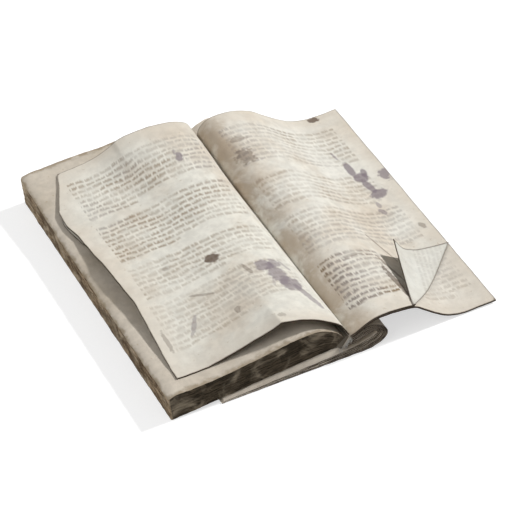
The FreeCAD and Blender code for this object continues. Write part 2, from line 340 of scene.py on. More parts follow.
def cloud(tree, place, scale, detail=3.0, rough=0.55, warp=0.0):
    node = add(tree, "ShaderNodeTexNoise", {"Vector": place, "Scale": scale, "Detail": detail,
                                            "Roughness": rough, "Distortion": warp})
    return node.outputs["Fac"]


def paper_group():
    """Old rag paper: cloudy tone, specks of rust, and a faint tooth."""
    tree, given = new_group("old_paper", {
        "Place": (0, 0, 0), "Light Tone": (0.76, 0.735, 0.65, 1),
        "Warm Tone": (0.62, 0.56, 0.45, 1), "Clouds": 0.5}, ["Color", "Height"])
    broad = cloud(tree, given["Place"], 22.0, 4.0, 0.6)
    share = times(tree, step_up(tree, broad, 0.42, 0.72), given["Clouds"])
    tone = mix_colour(tree, share, given["Light Tone"], given["Warm Tone"])
    fine = cloud(tree, given["Place"], 160.0, 4.0, 0.65)
    grain = step_up(tree, fine, 0.3, 0.7, 0.9, 1.06)
    tone = mix_colour(tree, 1.0, tone, add(tree, "ShaderNodeCombineColor", {
        "Red": grain, "Green": grain, "Blue": grain}).outputs[0], "MULTIPLY")
    specks = cloud(tree, given["Place"], 420.0, 1.0, 0.5)
    speck_share = step_up(tree, specks, 0.7, 0.78, 0.0, 0.35)
    tone = mix_colour(tree, speck_share, tone, (0.33, 0.24, 0.15, 1))
    tooth = cloud(tree, given["Place"], 900.0, 3.0, 0.6)
    height = plus(tree, times(tree, tooth, 0.15), times(tree, fine, 0.85))
    add(tree, "NodeGroupOutput", {"Color": tone, "Height": height})
    return tree


old_paper = paper_group()


def new_material(name):
    """An empty material, its tree, and the place on the object in metres."""
    material = bpy.data.materials.new(name)
    material.use_nodes = True
    tree = material.node_tree
    tree.nodes.clear()
    return material, tree, add(tree, "ShaderNodeTexCoord").outputs["Object"]


def aged_paper(tree, place, light, warm, clouds):
    """The paper effect in one material: its colour and its height."""
    paper = add(tree, "ShaderNodeGroup", {"Place": place, "Light Tone": light, "Warm Tone": warm,
                                          "Clouds": clouds}, node_tree=old_paper)
    return paper.outputs["Color"], paper.outputs["Height"]


def finish_material(tree, colour, height, rough=0.9, bump=0.3, bump_distance=0.0003):
    """The shader itself: matt paper with its bumps."""
    bumps = add(tree, "ShaderNodeBump", {"Height": height, "Strength": bump,
                                         "Distance": bump_distance})
    shader = add(tree, "ShaderNodeBsdfPrincipled", {
        "Base Color": colour, "Normal": bumps.outputs[0], "Roughness": rough,
        "Specular IOR Level": 0.15})
    add(tree, "ShaderNodeOutputMaterial", {"Surface": shader.outputs[0]})


def strata_group():
    """Cut edges of many leaves: fine lines along them, and soft pale or dark drifts across."""
    tree, given = new_group("leaf_strata", {
        "Edge": (0, 0, 0), "Place": (0, 0, 0), "Line Scale": 2.0, "Dark": (0.04, 0.03, 0.02, 1),
        "Middle": (0.16, 0.12, 0.08, 1), "Light": (0.4, 0.33, 0.24, 1), "Drift": 0.55,
        "Pale Drift": 0.5, "Bend": 2.4}, ["Color", "Height"])
    run, level, _ = add(tree, "ShaderNodeSeparateXYZ", {0: given["Edge"]}).outputs
    bend = cloud(tree, given["Place"], 60.0, 3.0, 0.6)
    level = plus(tree, level, times(tree, bend, given["Bend"]))
    lines_place = add(tree, "ShaderNodeCombineXYZ", {
        0: times(tree, run, 0.09),
        1: times(tree, level, given["Line Scale"])}).outputs[0]
    lines = cloud(tree, lines_place, 1.0, 3.0, 0.7)
    tone = mix_colour(tree, step_up(tree, lines, 0.38, 0.61), given["Dark"], given["Middle"])
    pale = cloud(tree, given["Place"], 38.0, 4.0, 0.6, 1.2)
    tone = mix_colour(tree, step_up(tree, pale, 0.48, 0.66, 0.0, given["Pale Drift"]), tone,
                      given["Light"])
    moved = add(tree, "ShaderNodeVectorMath", {0: given["Place"], 1: (0.31, 0.17, 0.05)},
                operation="ADD").outputs[0]
    dark = cloud(tree, moved, 55.0, 4.0, 0.62, 0.8)
    tone = mix_colour(tree, step_up(tree, dark, 0.47, 0.62, 0.0, given["Drift"]), tone,
                      given["Dark"])
    add(tree, "NodeGroupOutput", {"Color": tone, "Height": lines})
    return tree


leaf_strata = strata_group()


def cut_edge_material(name, line_scale, dark, middle, light, drift, pale_drift, bend=2.4):
    material, tree, place = new_material(name)
    edge = add(tree, "ShaderNodeAttribute", attribute_name="edge").outputs["Vector"]
    strata = add(tree, "ShaderNodeGroup", {
        "Edge": edge, "Place": place, "Line Scale": line_scale, "Dark": dark, "Middle": middle,
        "Light": light, "Drift": drift, "Pale Drift": pale_drift, "Bend": bend},
        node_tree=leaf_strata)
    finish_material(tree, strata.outputs["Color"], strata.outputs["Height"], 0.92, 0.5, 0.0005)
    return material


stack_ends_look = cut_edge_material(
    "stack_cut_ends", 1.3, (0.032, 0.024, 0.015, 1), (0.12, 0.092, 0.06, 1),
    (0.36, 0.30, 0.22, 1), 0.75, 0.9)
stack_fore_look = cut_edge_material(
    "stack_fore_edge", 0.5, (0.11, 0.074, 0.042, 1), (0.45, 0.34, 0.225, 1),
    (0.62, 0.52, 0.385, 1), 0.8, 0.7)

# The stack's top page: its paper tone is darker than the loose leaves', which is painted shade
# under them; its darker rim is dirt.
stack_top_page_painted_shade_and_dirt, tree, place = new_material("stack_top_page")
tone, tooth = aged_paper(tree, place, (0.53, 0.475, 0.40, 1), (0.44, 0.38, 0.30, 1), 0.9)
edge = add(tree, "ShaderNodeAttribute", attribute_name="edge").outputs["Vector"]
from_rim = add(tree, "ShaderNodeSeparateXYZ", {0: edge}).outputs["Z"]
rim = plus(tree, from_rim, times(tree, cloud(tree, place, 190.0, 3.0, 0.6), 5.0))
tone = mix_colour(tree, step_up(tree, rim, 4.6, 2.4, 0.0, 0.75), tone, (0.24, 0.185, 0.12, 1))
finish_material(tree, tone, tooth, 0.92, 0.35)

points, faces, slots, edge_map = build_stack()
make_piece("page_stack", points, faces, [stack_ends_look, stack_top_page_painted_shade_and_dirt, stack_fore_look], slots,
           {"edge": edge_map}, "page_block")


# The front pages of the same rag paper, turned right round: still glued in at the spine, they leave
# it to the right, curl over in a roll and run back flat under the stack. Their loose edges stop one
# behind the other.
sheaf_leaves = 13
leaf_share_gap = 0.22           # of each leaf's share that is air
sheaf_end_wander = 0.5
sheaf_end_zone = (98, 105)      # how far from the middle the ends begin to wander
sheaf_near_end = -106.8         # a little nearer the reader than the stack's own end
sheaf_far_end = 105.0
tail_end = -84.0
curl_places = ([sheaf_near_end, -105.6, -104.6, -102, -98], [0, 0.75, 1, 0.6, 0])
curl_clearance = 0.35           # between the uppermost leaf's curled end and the stack
tail_wander = 2.2
outer_path = [(-0.5, 14.4), (5.4, 17.3), (11.4, 19.3), (16.6, 17.9), (21.4, 14.5), (24.2, 9.4),
              (22.6, 4.6), (16.6, 1.15), (9.3, 0.0), (-12.0, 0.0), (-40.0, 0.0), (-84.0, 0.0)]
inner_path = [(-4.5, 8.2), (4.2, 9.8), (9.6, 12.1), (13.4, 13.2), (15.8, 13.2), (16.9, 11.9),
              (15.9, 10.5), (11.9, 8.3), (-5.7, 5.3), (-24.0, 4.3), (-48.0, 2.97), (-84.0, 1.1)]


def sheaf_curve(share, steps=84):
    """One leaf's path, from the spine round the fold to its loose edge."""
    way = np.array(outer_path) * (1 - share) + np.array(inner_path) * share
    knots = range(len(way))
    places = np.concatenate([np.linspace(0, 9, steps * 3 // 4), np.linspace(9, 11, steps // 4)[1:]])
    line = np.array([smooth(knots, way, place) for place in places])
    line[:, 1] = np.maximum(line[:, 1], 0.0)
    return line


def curl_share(y):
    """How far the uppermost leaf's end has curled up towards the stack."""
    return float(np.interp(y, *curl_places))


def build_sheaf():
    points, edge_map, faces, slots = [], [], [], []
    lengthwise = curl_places[0] + [-80, -40, 0, 40, 80, 100, sheaf_far_end]
    for leaf in range(sheaf_leaves):
        half_gap = leaf_share_gap * random.uniform(0.3, 1.6) / 2
        low, high = (leaf + half_gap) / sheaf_leaves, (leaf + 1 - half_gap) / sheaf_leaves
        if leaf == 0:
            low = 0.0
        sides = [sheaf_curve(low), sheaf_curve(high)[::-1]]
        loop = np.concatenate(sides)
        steps = len(sides[0])
        cut = random.uniform(0, tail_wander)
        near_in = random.uniform(0, sheaf_end_wander)
        start = len(points)
        for y in lengthwise:
            ends_in = near_in * (1 if y < 0 else -1) * ease(*sheaf_end_zone, abs(y))
            for index, (x, z) in enumerate(loop):
                x = max(x, tail_end + cut + 0.5 * ripple(y / 9, leaf, 5))
                if leaf == sheaf_leaves - 1 and index >= steps and x < -4:
                    gap = max(0.0, (x - stack_fore) * math.tan(stack_tilt) - z - curl_clearance)
                    z += gap * curl_share(y) * ease(-4, -9, x)
                wander = 0.35 * ripple(x / 5, leaf * 1.3, z / 5) * ease(*sheaf_end_zone, abs(y))
                points.append((x, y + ends_in + wander * (1 if y < 0 else -1), z))
                run = index if index < steps else 2 * steps - 1 - index
                edge_map.append((run * 2.0, leaf * 1.9 + (0 if index < steps else 1), leaf))
        count = len(loop)
        for row in range(len(lengthwise) - 1):
            for step in range(count):
                nxt = (step + 1) % count
                a, b = start + row * count, start + (row + 1) * count
                faces.append((a + step, b + step, b + nxt, a + nxt))
                slots.append(1)
        last = start + (len(lengthwise) - 1) * count
        for step in range(steps - 1):
            other = count - 1 - step
            faces.append((start + step, start + step + 1, start + other - 1, start + other))
            faces.append((last + step, last + other, last + other - 1, last + step + 1))
            slots += [0, 0]
    return points, faces, slots, edge_map


sheaf_edges = cut_edge_material(
    "sheaf_cut_edges", 1.0, (0.014, 0.010, 0.007, 1), (0.14, 0.11, 0.08, 1),
    (0.24, 0.20, 0.15, 1), 0.75, 0.2, 0.7)
sheaf_page, tree, place = new_material("sheaf_outer_pages")
tone, tooth = aged_paper(tree, place, (0.64, 0.57, 0.48, 1), (0.48, 0.41, 0.32, 1), 0.8)
finish_material(tree, tone, tooth, 0.92, 0.35)
points, faces, slots, edge_map = build_sheaf()
make_piece("turned_under_sheaf", points, faces, [sheaf_edges, sheaf_page], slots,
           {"edge": edge_map}, "turned_under_pages")


# What is left of the glued linen that lined the spine, and the hemp cords under it. The cloth has
# frayed at the reader's end, where pale threads and flakes of glue hang out.
lining_section = [(-11.75, 9.0), (-8.76, 9.9), (-3.4, 14.3), (-0.6, 14.4), (-4.5, 8.3),
                  (-7.2, 7.5), (-9.6, 7.8), (-11.7, 8.3)]
lining_ends = (-104.6, 105)
lining_rows = 60
lining_wander = 0.25
fray_depth = 0.9
thread_count = 22
thread_root = -106.2            # how near the reader the threads hang
thread_spread = (-7.8, 0.4)     # where they leave the cloth, across it
thread_top = 15.2               # the highest of them, which the others lie below
thread_slope = 0.95
thread_drop = (1.5, 6.0)
thread_lean = (-1.6, 1.2)
thread_width = (0.2, 0.42)


def build_lining():
    points, faces = [], []
    places = np.linspace(*lining_ends, lining_rows)
    count = len(lining_section)
    for y in places:
        for index, (x, z) in enumerate(lining_section):
            rough = lining_wander * ripple(y / 3, index * 1.7, 2.0)
            fray = fray_depth * ripple(index * 2.3, 7.0, 1.0) if y == places[0] else 0
            points.append((x + rough, y - fray, z + rough))
    for row in range(len(places) - 1):
        faces += band(row * count, count)
    faces.append(tuple(range(count))[::-1])
    last = (len(places) - 1) * count
    faces.append(tuple(range(last, last + count)))
    return points, faces


def add_thread(points, faces, way, width):
    """One flat thread along its way, as a four-sided strip that thins out."""
    start = len(points)
    for index, place in enumerate(way):
        thin = width * (1 - 0.6 * index / len(way)) / 2
        x, y, z = place
        points += [(x - thin, y, z - thin), (x + thin, y, z - thin * 0.4),
                   (x + thin, y, z + thin), (x - thin, y, z + thin * 0.4)]
    for row in range(len(way) - 1):
        faces += band(start + row * 4, 4)
    faces.append(tuple(start + k for k in (3, 2, 1, 0)))
    faces.append(tuple(start + (len(way) - 1) * 4 + k for k in range(4)))


linen, tree, place = new_material("linen_and_glue")
weave = add(tree, "ShaderNodeTexWave", {"Vector": place, "Scale": 320.0, "Distortion": 1.5})
tone = mix_colour(tree, cloud(tree, place, 140.0, 4.0), (0.10, 0.08, 0.06, 1),
                  (0.34, 0.30, 0.24, 1))
finish_material(tree, tone, weave.outputs["Fac"], 0.95, 0.4)
thread_pale, tree, place = new_material("frayed_thread")
tone = mix_colour(tree, cloud(tree, place, 300.0, 3.0), (0.26, 0.24, 0.21, 1),
                  (0.66, 0.64, 0.60, 1))
finish_material(tree, tone, cloud(tree, place, 900.0), 0.9, 0.4)

points, faces = build_lining()
slots = [0] * len(faces)
for number in range(thread_count):
    x = random.uniform(*thread_spread)
    top = thread_top - abs(x + 1.0) * thread_slope + random.uniform(-1.5, 0)
    drop = random.uniform(*thread_drop)
    lean = random.uniform(*thread_lean)
    way = []
    for share in np.linspace(0, 1, 6):
        way.append((x + lean * share + 0.5 * ripple(number, share * 3, 1),
                    thread_root - 0.9 * math.sin(share * 3.0) * random.uniform(0.6, 1),
                    max(0.6, top - drop * share)))
    before = len(faces)
    add_thread(points, faces, way, random.uniform(*thread_width))
    slots += [1] * (len(faces) - before)
make_piece("spine_cloth", points, faces, [linen, thread_pale], slots, None, "spine_lining")

# The sewing cords are three short lengths of twisted hemp across the spine. The thread of each
# section goes round them, and the lining is glued over them.
cord_count = 3
hemp, tree, place = new_material("hemp_cord")
twist = add(tree, "ShaderNodeTexWave", {"Vector": place, "Scale": 260.0, "Distortion": 2.0},
            bands_direction="DIAGONAL")
tone = mix_colour(tree, twist.outputs["Fac"], (0.17, 0.13, 0.085, 1), (0.36, 0.29, 0.2, 1))
finish_material(tree, tone, twist.outputs["Fac"], 0.9, 0.5)
for number in range(cord_count):
    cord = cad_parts["sewing_cord_%d" % (number + 1)]
    cord.data.materials.clear()
    cord.data.materials.append(hemp)


# Loose leaves over the flat half. Each is one sheet of rag paper, held in the glue at the gutter.
# The top one arches up, is creased at its near edge, and has lost its far outer corner.
left_places = [0.0, 0.2, 0.45, 0.68, 0.9, 1.0]
left_table = [                  # across the page from the gutter, one row for each place along it
    [(-0.6, 16.4), (-3.8, 22.1), (-6.6, 25.9), (-14.8, 31.2), (-21.8, 34.7), (-30.7, 37.3),
     (-41.1, 37.9), (-49.0, 34.8), (-61.1, 29.8), (-73.2, 25.1), (-91.8, 19.9), (-112.0, 18.6)],
    [(-1.2, 16.4), (-3.9, 21.2), (-7.0, 24.8), (-14.8, 29.5), (-22.0, 32.6), (-30.7, 34.6),
     (-41.1, 34.4), (-50.0, 31.9), (-61.1, 28.6), (-73.2, 25.8), (-92.0, 23.3), (-112.0, 24.0)],
    [(-1.2, 16.4), (-4.0, 20.4), (-7.2, 24.2), (-14.8, 28.3), (-22.0, 30.6), (-30.7, 31.6),
     (-41.1, 30.9), (-50.0, 29.8), (-61.1, 28.1), (-73.2, 26.5), (-92.0, 25.8), (-112.0, 27.4)],
    [(-1.2, 16.4), (-4.0, 21.0), (-7.2, 25.5), (-14.8, 29.3), (-22.0, 31.2), (-30.7, 31.9),
     (-41.1, 30.6), (-50.0, 28.1), (-61.1, 25.6), (-73.2, 24.1), (-92.0, 23.1), (-112.0, 22.6)],
    [(-1.2, 16.4), (-3.4, 22.5), (-7.0, 29.3), (-14.8, 33.1), (-22.0, 34.8), (-30.7, 35.5),
     (-41.1, 34.5), (-51.0, 32.4), (-61.1, 28.2), (-73.2, 25.3), (-92.0, 23.5), (-112.0, 22.4)],
    [(-1.2, 16.4), (-3.2, 22.5), (-7.0, 30.0), (-14.8, 34.2), (-22.0, 36.3), (-30.7, 37.3),
     (-41.1, 37.1), (-51.5, 35.6), (-61.1, 30.6), (-73.2, 26.2), (-92.0, 23.6), (-112.0, 22.8)],
]
left_near = ([-110, -92, -73, -61, -49, -41, -31, -15, 0],
             [-94.3, -95, -96, -97, -98.2, -99, -100, -102.5, -105])
left_far = ([-110, -60, 0], [94.0, 94.3, 94.5])
left_fore = ([-105, -85, -60, -40, -24, -3, 12, 35, 47, 60.6, 71.3, 82.4, 94.5],
             [-105.9, -105.4, -104.1, -103.1, -104.4, -105.7, -106.4, -107.2, -109.6, -109.0,
              -104.6, -99.8, -96.1])
top_leaf_thickness = 0.9
top_leaf_wear = 0.22            # how far its edges wander


def gather(table, places, fore, near, far, across, lengthwise, wear):
    """A leaf's upper face as rows of points from the gutter out, with each row's place along it."""
    rows = []
    count = len(table[0])
    for v in lengthwise:
        section = smooth(places, table, v)
        y_guess = near[1][-1] + (far[1][-1] - near[1][-1]) * v
        reach = np.interp(y_guess, *fore) + wear * ripple(y_guess / 5, v * 3, 1.7)
        finish = count - 1.0
        if abs(section[-1][0]) > abs(reach):
            low, high = 0.0, count - 1.0
            for _ in range(18):
                finish = (low + high) / 2
                if abs(smooth(range(count), section, finish)[0]) < abs(reach):
                    low = finish
                else:
                    high = finish
        row = []
        for u in across:
            x, z = smooth(range(count), section, finish * u)
            y_near, y_far = np.interp(x, *near), np.interp(x, *far)
            if v in (lengthwise[0], lengthwise[-1]):
                y_near += wear * 0.7 * ripple(x / 4, v * 5, 4.2)
                y_far += wear * 0.7 * ripple(x / 4, v * 5, 4.2)
            row.append(Vector((x, y_near + (y_far - y_near) * v, z)))
        rows.append(row)
    return rows


def normals_of(rows):
    """The upward direction at each point of a sheet."""
    grid = np.array([[tuple(p) for p in row] for row in rows])
    over, along = np.gradient(grid, axis=1), np.gradient(grid, axis=0)
    up = np.cross(over, along)
    up /= np.maximum(np.linalg.norm(up, axis=2, keepdims=True), 1e-9)
    if up[..., 2].mean() < 0:
        up = -up
    return up


def rim_distances(rows, free):
    """How far each point lies from the sheet's free edges, or from its fold (inner)."""
    grid = np.array([[tuple(p) for p in row] for row in rows])
    borders = {"near": grid[0], "far": grid[-1], "outer": grid[:, -1], "inner": grid[:, 1]}
    border = np.concatenate([borders[edge] for edge in free])
    flat = grid.reshape(-1, 3)
    nearest = np.full(len(flat), 40.0)
    for start in range(0, len(flat), 2000):
        part = flat[start:start + 2000]
        gaps = np.linalg.norm(part[:, None, :] - border[None, :, :], axis=2)
        nearest[start:start + 2000] = np.minimum(gaps.min(axis=1), 40.0)
    return nearest


def sheet_piece(name, rows, thickness, materials, free, node, page_places=None):
    """A closed sheet of paper: front, back and cut edges, in that order of materials."""
    up = normals_of(rows)
    height, width = len(rows), len(rows[0])
    top = [p for row in rows for p in row]
    rim = rim_distances(rows, free)
    if page_places is None:
        page_places = []
        for row in rows:
            run = 0.0
            for index, point in enumerate(row):
                run += (point - row[index - 1]).length if index else 0.0
                page_places.append((run if row[-1].x > 0 else -run, point.y))
    thin = np.clip(1.0 - rim / 30, 0.5, 1) * thickness
    low = [p - Vector(up[i // width][i % width]) * thin[i] for i, p in enumerate(top)]
    points = top + low
    count = len(top)
    faces, slots = [], []
    mirrored = rows[0][-1].x < rows[0][0].x
    def face(corners, slot):
        faces.append(tuple(corners[::-1]) if mirrored else tuple(corners))
        slots.append(slot)
    for r in range(height - 1):
        for c in range(width - 1):
            a, b = r * width + c, (r + 1) * width + c
            face((a, a + 1, b + 1, b), 0)
            face((count + a, count + b, count + b + 1, count + a + 1), 1)
    loop = list(range(width))
    loop += [r * width + width - 1 for r in range(1, height)]
    loop += [(height - 1) * width + c for c in range(width - 2, -1, -1)]
    loop += [r * width for r in range(height - 2, 0, -1)]
    for a, b in zip(loop, loop[1:] + loop[:1]):
        face((a, count + a, count + b, b), 2)
    page = [(s, y, rim[i]) for i, (s, y) in enumerate(page_places)] * 2
    return make_piece(name, points, faces, materials, slots, {"page": page}, node)


line_pitch = 4.25


def print_rows_group():
    """Rows of worn word-like dashes: 1 on the ink. Lengths in millimetres."""
    tree, given = new_group("print_rows", {
        "Across": 0.0, "Down": 0.0, "Run": 0.0, "Top": 80.0, "Rows": 9.0, "Pitch": line_pitch,
        "Start": -95.0, "End": -11.0, "Last End": -60.0, "Slope": 0.0, "Weight": 1.0}, ["Ink"])
    lean = times(tree, given["Across"], given["Slope"])
    where = add(tree, "ShaderNodeCombineXYZ", {
        0: given["Across"], 1: times(tree, given["Down"], 1.6)}).outputs[0]
    bend = times(tree, minus(tree, cloud(tree, where, 0.075, 3.0), 0.5), 5.5)
    depth = minus(tree, minus(tree, given["Top"], lean), plus(tree, given["Down"], bend))
    line = plus(tree, calc(tree, "DIVIDE", depth, given["Pitch"]), 0.5)
    row = calc(tree, "FLOOR", line)
    within = calc(tree, "FRACT", line)
    word_place = plus(tree, times(tree, given["Run"], 0.17), times(tree, row, 13.7))
    word = add(tree, "ShaderNodeTexVoronoi", {"W": word_place, "Scale": 1.0, "Randomness": 1.0},
               voronoi_dimensions="1D", feature="DISTANCE_TO_EDGE").outputs["Distance"]
    solid = step_up(tree, word, 0.03, 0.14)
    letter_place = plus(tree, times(tree, given["Run"], 0.8), times(tree, row, 31.3))
    letters = add(tree, "ShaderNodeTexNoise", {"W": letter_place, "Scale": 1.0, "Detail": 3.0,
                                               "Roughness": 0.75},
                  noise_dimensions="1D").outputs["Fac"]
    top_line = step_up(tree, letters, 0.32, 0.62, 0.30, 0.02)
    foot_line = step_up(tree, letters, 0.36, 0.7, 0.98, 0.86)
    upper = times(tree, minus(tree, within, top_line), 3.2, clamp=True)
    lower = times(tree, minus(tree, foot_line, within), 3.2, clamp=True)
    band = times(tree, upper, lower)
    body = step_up(tree, letters, 0.26, 0.5, 0.45, 1.0)
    first = calc(tree, "GREATER_THAN", line, 0.0)
    last = calc(tree, "LESS_THAN", line, given["Rows"])
    on_last = calc(tree, "GREATER_THAN", line, minus(tree, given["Rows"], 1.0))
    shorter = minus(tree, given["Last End"], given["End"])
    finish = plus(tree, given["End"], times(tree, on_last, shorter))
    after = calc(tree, "GREATER_THAN", given["Across"], given["Start"])
    before = calc(tree, "LESS_THAN", given["Across"], finish)
    ink = given["Weight"]
    for part in (solid, band, body, first, last, after, before):
        ink = times(tree, ink, part)
    add(tree, "NodeGroupOutput", {"Ink": ink})
    return tree


def blot_group():
    """One ragged blot or streak: 1 in its middle. Lengths in millimetres."""
    tree, given = new_group("ragged_blot", {
        "Place": (0, 0, 0), "Centre": (0, 0, 0), "Half Size": (4, 4, 1), "Turn": 0.0,
        "Ragged": 0.6}, ["Mask"])
    moved = add(tree, "ShaderNodeVectorMath", {0: given["Place"], 1: given["Centre"]},
                operation="SUBTRACT").outputs[0]
    turned = add(tree, "ShaderNodeVectorRotate", {
        "Vector": moved, "Angle": times(tree, given["Turn"], -1.0)},
        rotation_type="Z_AXIS").outputs[0]
    scaled = add(tree, "ShaderNodeVectorMath", {0: turned, 1: given["Half Size"]},
                 operation="DIVIDE").outputs[0]
    away = add(tree, "ShaderNodeVectorMath", {0: scaled}, operation="LENGTH").outputs["Value"]
    rags = cloud(tree, given["Place"], 0.30, 3.0, 0.6)
    spread = times(tree, given["Ragged"], 3.0)
    away = plus(tree, away, times(tree, minus(tree, rags, 0.5), spread))
    add(tree, "NodeGroupOutput", {"Mask": step_up(tree, away, 1.15, 0.8)})
    return tree


print_rows = print_rows_group()
ragged_blot = blot_group()
ink_brown = (0.20, 0.135, 0.075, 1)
ink_grey = (0.27, 0.235, 0.21, 1)
violet = (0.20, 0.165, 0.185, 1)
# A rust brown for real rust stains, also used for painted crease shade beside the folded corner.
rust_and_crease_shade = (0.10, 0.065, 0.045, 1)
gutter_brown = (0.33, 0.24, 0.155, 1)
# The rim's brown: wear at free edges, and painted shade along a fold.
rim_wear_and_fold_shade_brown = (0.09, 0.065, 0.045, 1)


def page_material(name, light, warm, clouds, paragraphs=(), blots=(), gutter=0.0, rim_width=1.0):
    """Printed paper: tone, rows of print, blots, a brown rim of wear, and painted shade at folds.

    A paragraph has its top, rows, pitch, start, end, last row's end, slope and weight. A blot has
    its centre, half size, turn in degrees, raggedness, depth and colour.
    """
    material, tree, object_place = new_material(name)
    plan = add(tree, "ShaderNodeVectorMath", {0: object_place, 1: (1 / mm, 1 / mm, 0)},
               operation="MULTIPLY").outputs[0]
    across = add(tree, "ShaderNodeSeparateXYZ", {0: plan}).outputs["X"]
    page = add(tree, "ShaderNodeAttribute", attribute_name="page").outputs["Vector"]
    run, page_down, rim = add(tree, "ShaderNodeSeparateXYZ", {0: page}).outputs
    tone, tooth = aged_paper(tree, object_place, light, warm, clouds)
    wide = cloud(tree, object_place, 34.0, 3.0, 0.6)
    margin = plus(tree, rim, times(tree, wide, 16.0))
    tone = mix_colour(tree, step_up(tree, margin, 26.0, 6.0, 0.0, 0.55), tone, warm)
    if gutter:
        uneven = cloud(tree, object_place, 75.0, 4.0, 0.65)
        side = plus(tree, across, times(tree, uneven, -30.0))
        mottle = cloud(tree, object_place, 48.0, 4.0, 0.62, 0.6)
        patches = step_up(tree, mottle, 0.40, 0.60, 0.1, 1.0)
        shade = times(tree, step_up(tree, side, 4.0, -13.0, 0.0, gutter), patches)
        tone = mix_colour(tree, shade, tone, gutter_brown)
    ink_tone = mix_colour(tree, step_up(tree, cloud(tree, object_place, 17.0, 2.0), 0.48, 0.62),
                          ink_brown, ink_grey)
    for values in paragraphs:
        rows = add(tree, "ShaderNodeGroup", {
            "Across": across, "Down": page_down, "Run": run,
            **dict(zip(("Top", "Rows", "Pitch", "Start", "End", "Last End", "Slope", "Weight"),
                       values))}, node_tree=print_rows)
        fade = step_up(tree, cloud(tree, object_place, 40.0, 3.0, 0.6), 0.36, 0.62, 0.42, 1.08)
        tone = mix_colour(tree, times(tree, rows.outputs["Ink"], fade), tone, ink_tone)
    for centre_x, centre_y, half_x, half_y, turn, ragged, depth, colour in blots:
        blot = add(tree, "ShaderNodeGroup", {
            "Place": plan, "Centre": (centre_x, centre_y, 0), "Half Size": (half_x, half_y, 1),
            "Turn": math.radians(turn), "Ragged": ragged}, node_tree=ragged_blot)
        tone = mix_colour(tree, times(tree, blot.outputs["Mask"], depth), tone, colour)
    # The brown rim: wear at the free edges, and painted shade where a sheet's fold is counted among
    # its edges.
    nibbled = cloud(tree, object_place, 420.0, 2.0, 0.6)
    wear_and_fold_shade = plus(tree, rim, times(tree, nibbled, 0.45))
    tone = mix_colour(tree, step_up(tree, wear_and_fold_shade, rim_width, 0.2 * rim_width, 0.0, 0.75), tone,
                      rim_wear_and_fold_shade_brown)
    finish_material(tree, tone, tooth, 0.9, 0.3)
    return material


leaf_edge, tree, place = new_material("leaf_edges")
finish_material(tree, mix_colour(tree, cloud(tree, place, 500.0), (0.028, 0.02, 0.014, 1),
                                 (0.10, 0.072, 0.05, 1)), cloud(tree, place, 900.0), 0.95)

left_page = page_material(
    "left_page", (0.66, 0.64, 0.575, 1), (0.56, 0.495, 0.41, 1), 0.85,
    paragraphs=[
        (80.5, 9, line_pitch, -95.5, -9.0, -63.0, 0.0, 0.66),
        (36.5, 9, line_pitch, -95.5, -9.0, -56.0, 0.0, 0.62),
        (-8.0, 7, line_pitch, -95.5, -9.0, -44.0, 0.0, 0.48),
        (-41.5, 9, line_pitch, -97.0, -9.0, -50.0, 0.0, 0.36)],
    blots=[
        (-27.2, 63.0, 2.4, 4.2, -20, 0.5, 0.75, violet),
        (-28.6, 68.0, 0.9, 2.6, -15, 0.3, 0.5, violet),
        (-49.0, -24.5, 4.4, 3.6, 0, 0.35, 0.85, rust_and_crease_shade),
        (-26.0, -46.0, 5.6, 5.0, 20, 0.4, 0.7, violet),
        (-18.5, -45.5, 3.4, 4.6, 0, 0.5, 0.62, violet),
        (-21.5, -56.0, 5.4, 11.0, 4, 0.35, 0.7, violet),
        (-18.0, -65.5, 6.6, 7.0, 10, 0.35, 0.7, violet),
        (-13.0, -77.0, 2.4, 13.0, 18, 0.3, 0.6, violet),
        (-27.0, -62.0, 1.2, 5.0, -25, 0.4, 0.3, violet),
        (-13.0, -47.0, 1.0, 6.0, 20, 0.4, 0.4, violet),
        (-80.5, -65.0, 1.5, 7.5, -32, 0.5, 0.45, violet),
        (-55.0, -70.0, 2.0, 2.6, 0, 0.6, 0.4, rust_and_crease_shade),
        (-36.0, -45.0, 1.4, 5.5, 12, 0.5, 0.45, rust_and_crease_shade),
        (-66.0, -47.0, 8.0, 1.0, -28, 0.4, 0.4, rust_and_crease_shade),
        (-75.0, -16.5, 2.4, 2.2, 0, 0.8, 0.3, rust_and_crease_shade),
        (-99.0, -68.0, 1.4, 9.0, 0, 0.6, 0.4, rust_and_crease_shade),
        (-38.0, -92.0, 2.4, 2.0, 0, 0.8, 0.35, rust_and_crease_shade)])
# The leaves' undersides: the same paper in a much darker tone, which is painted shade under the
# leaves.
painted_shade_page_back = page_material("page_backs", (0.42, 0.37, 0.30, 1), (0.30, 0.25, 0.19, 1), 0.9)


def stack_top_under(x, y):
    """Height over the table of the stack's top page at this place."""
    usual_height = 17.5
    along = (x - stack_fore + usual_height * math.sin(stack_tilt)) / math.cos(stack_tilt)
    height = stack_height(min(max(along, 0.0), stack_reach), y)
    return along * math.sin(stack_tilt) + height * math.cos(stack_tilt)


def crease(values, x):
    """The height of a creased fold line at this place across the page."""
    place, height, width = values
    return height * math.exp(-abs(x - place) / width)


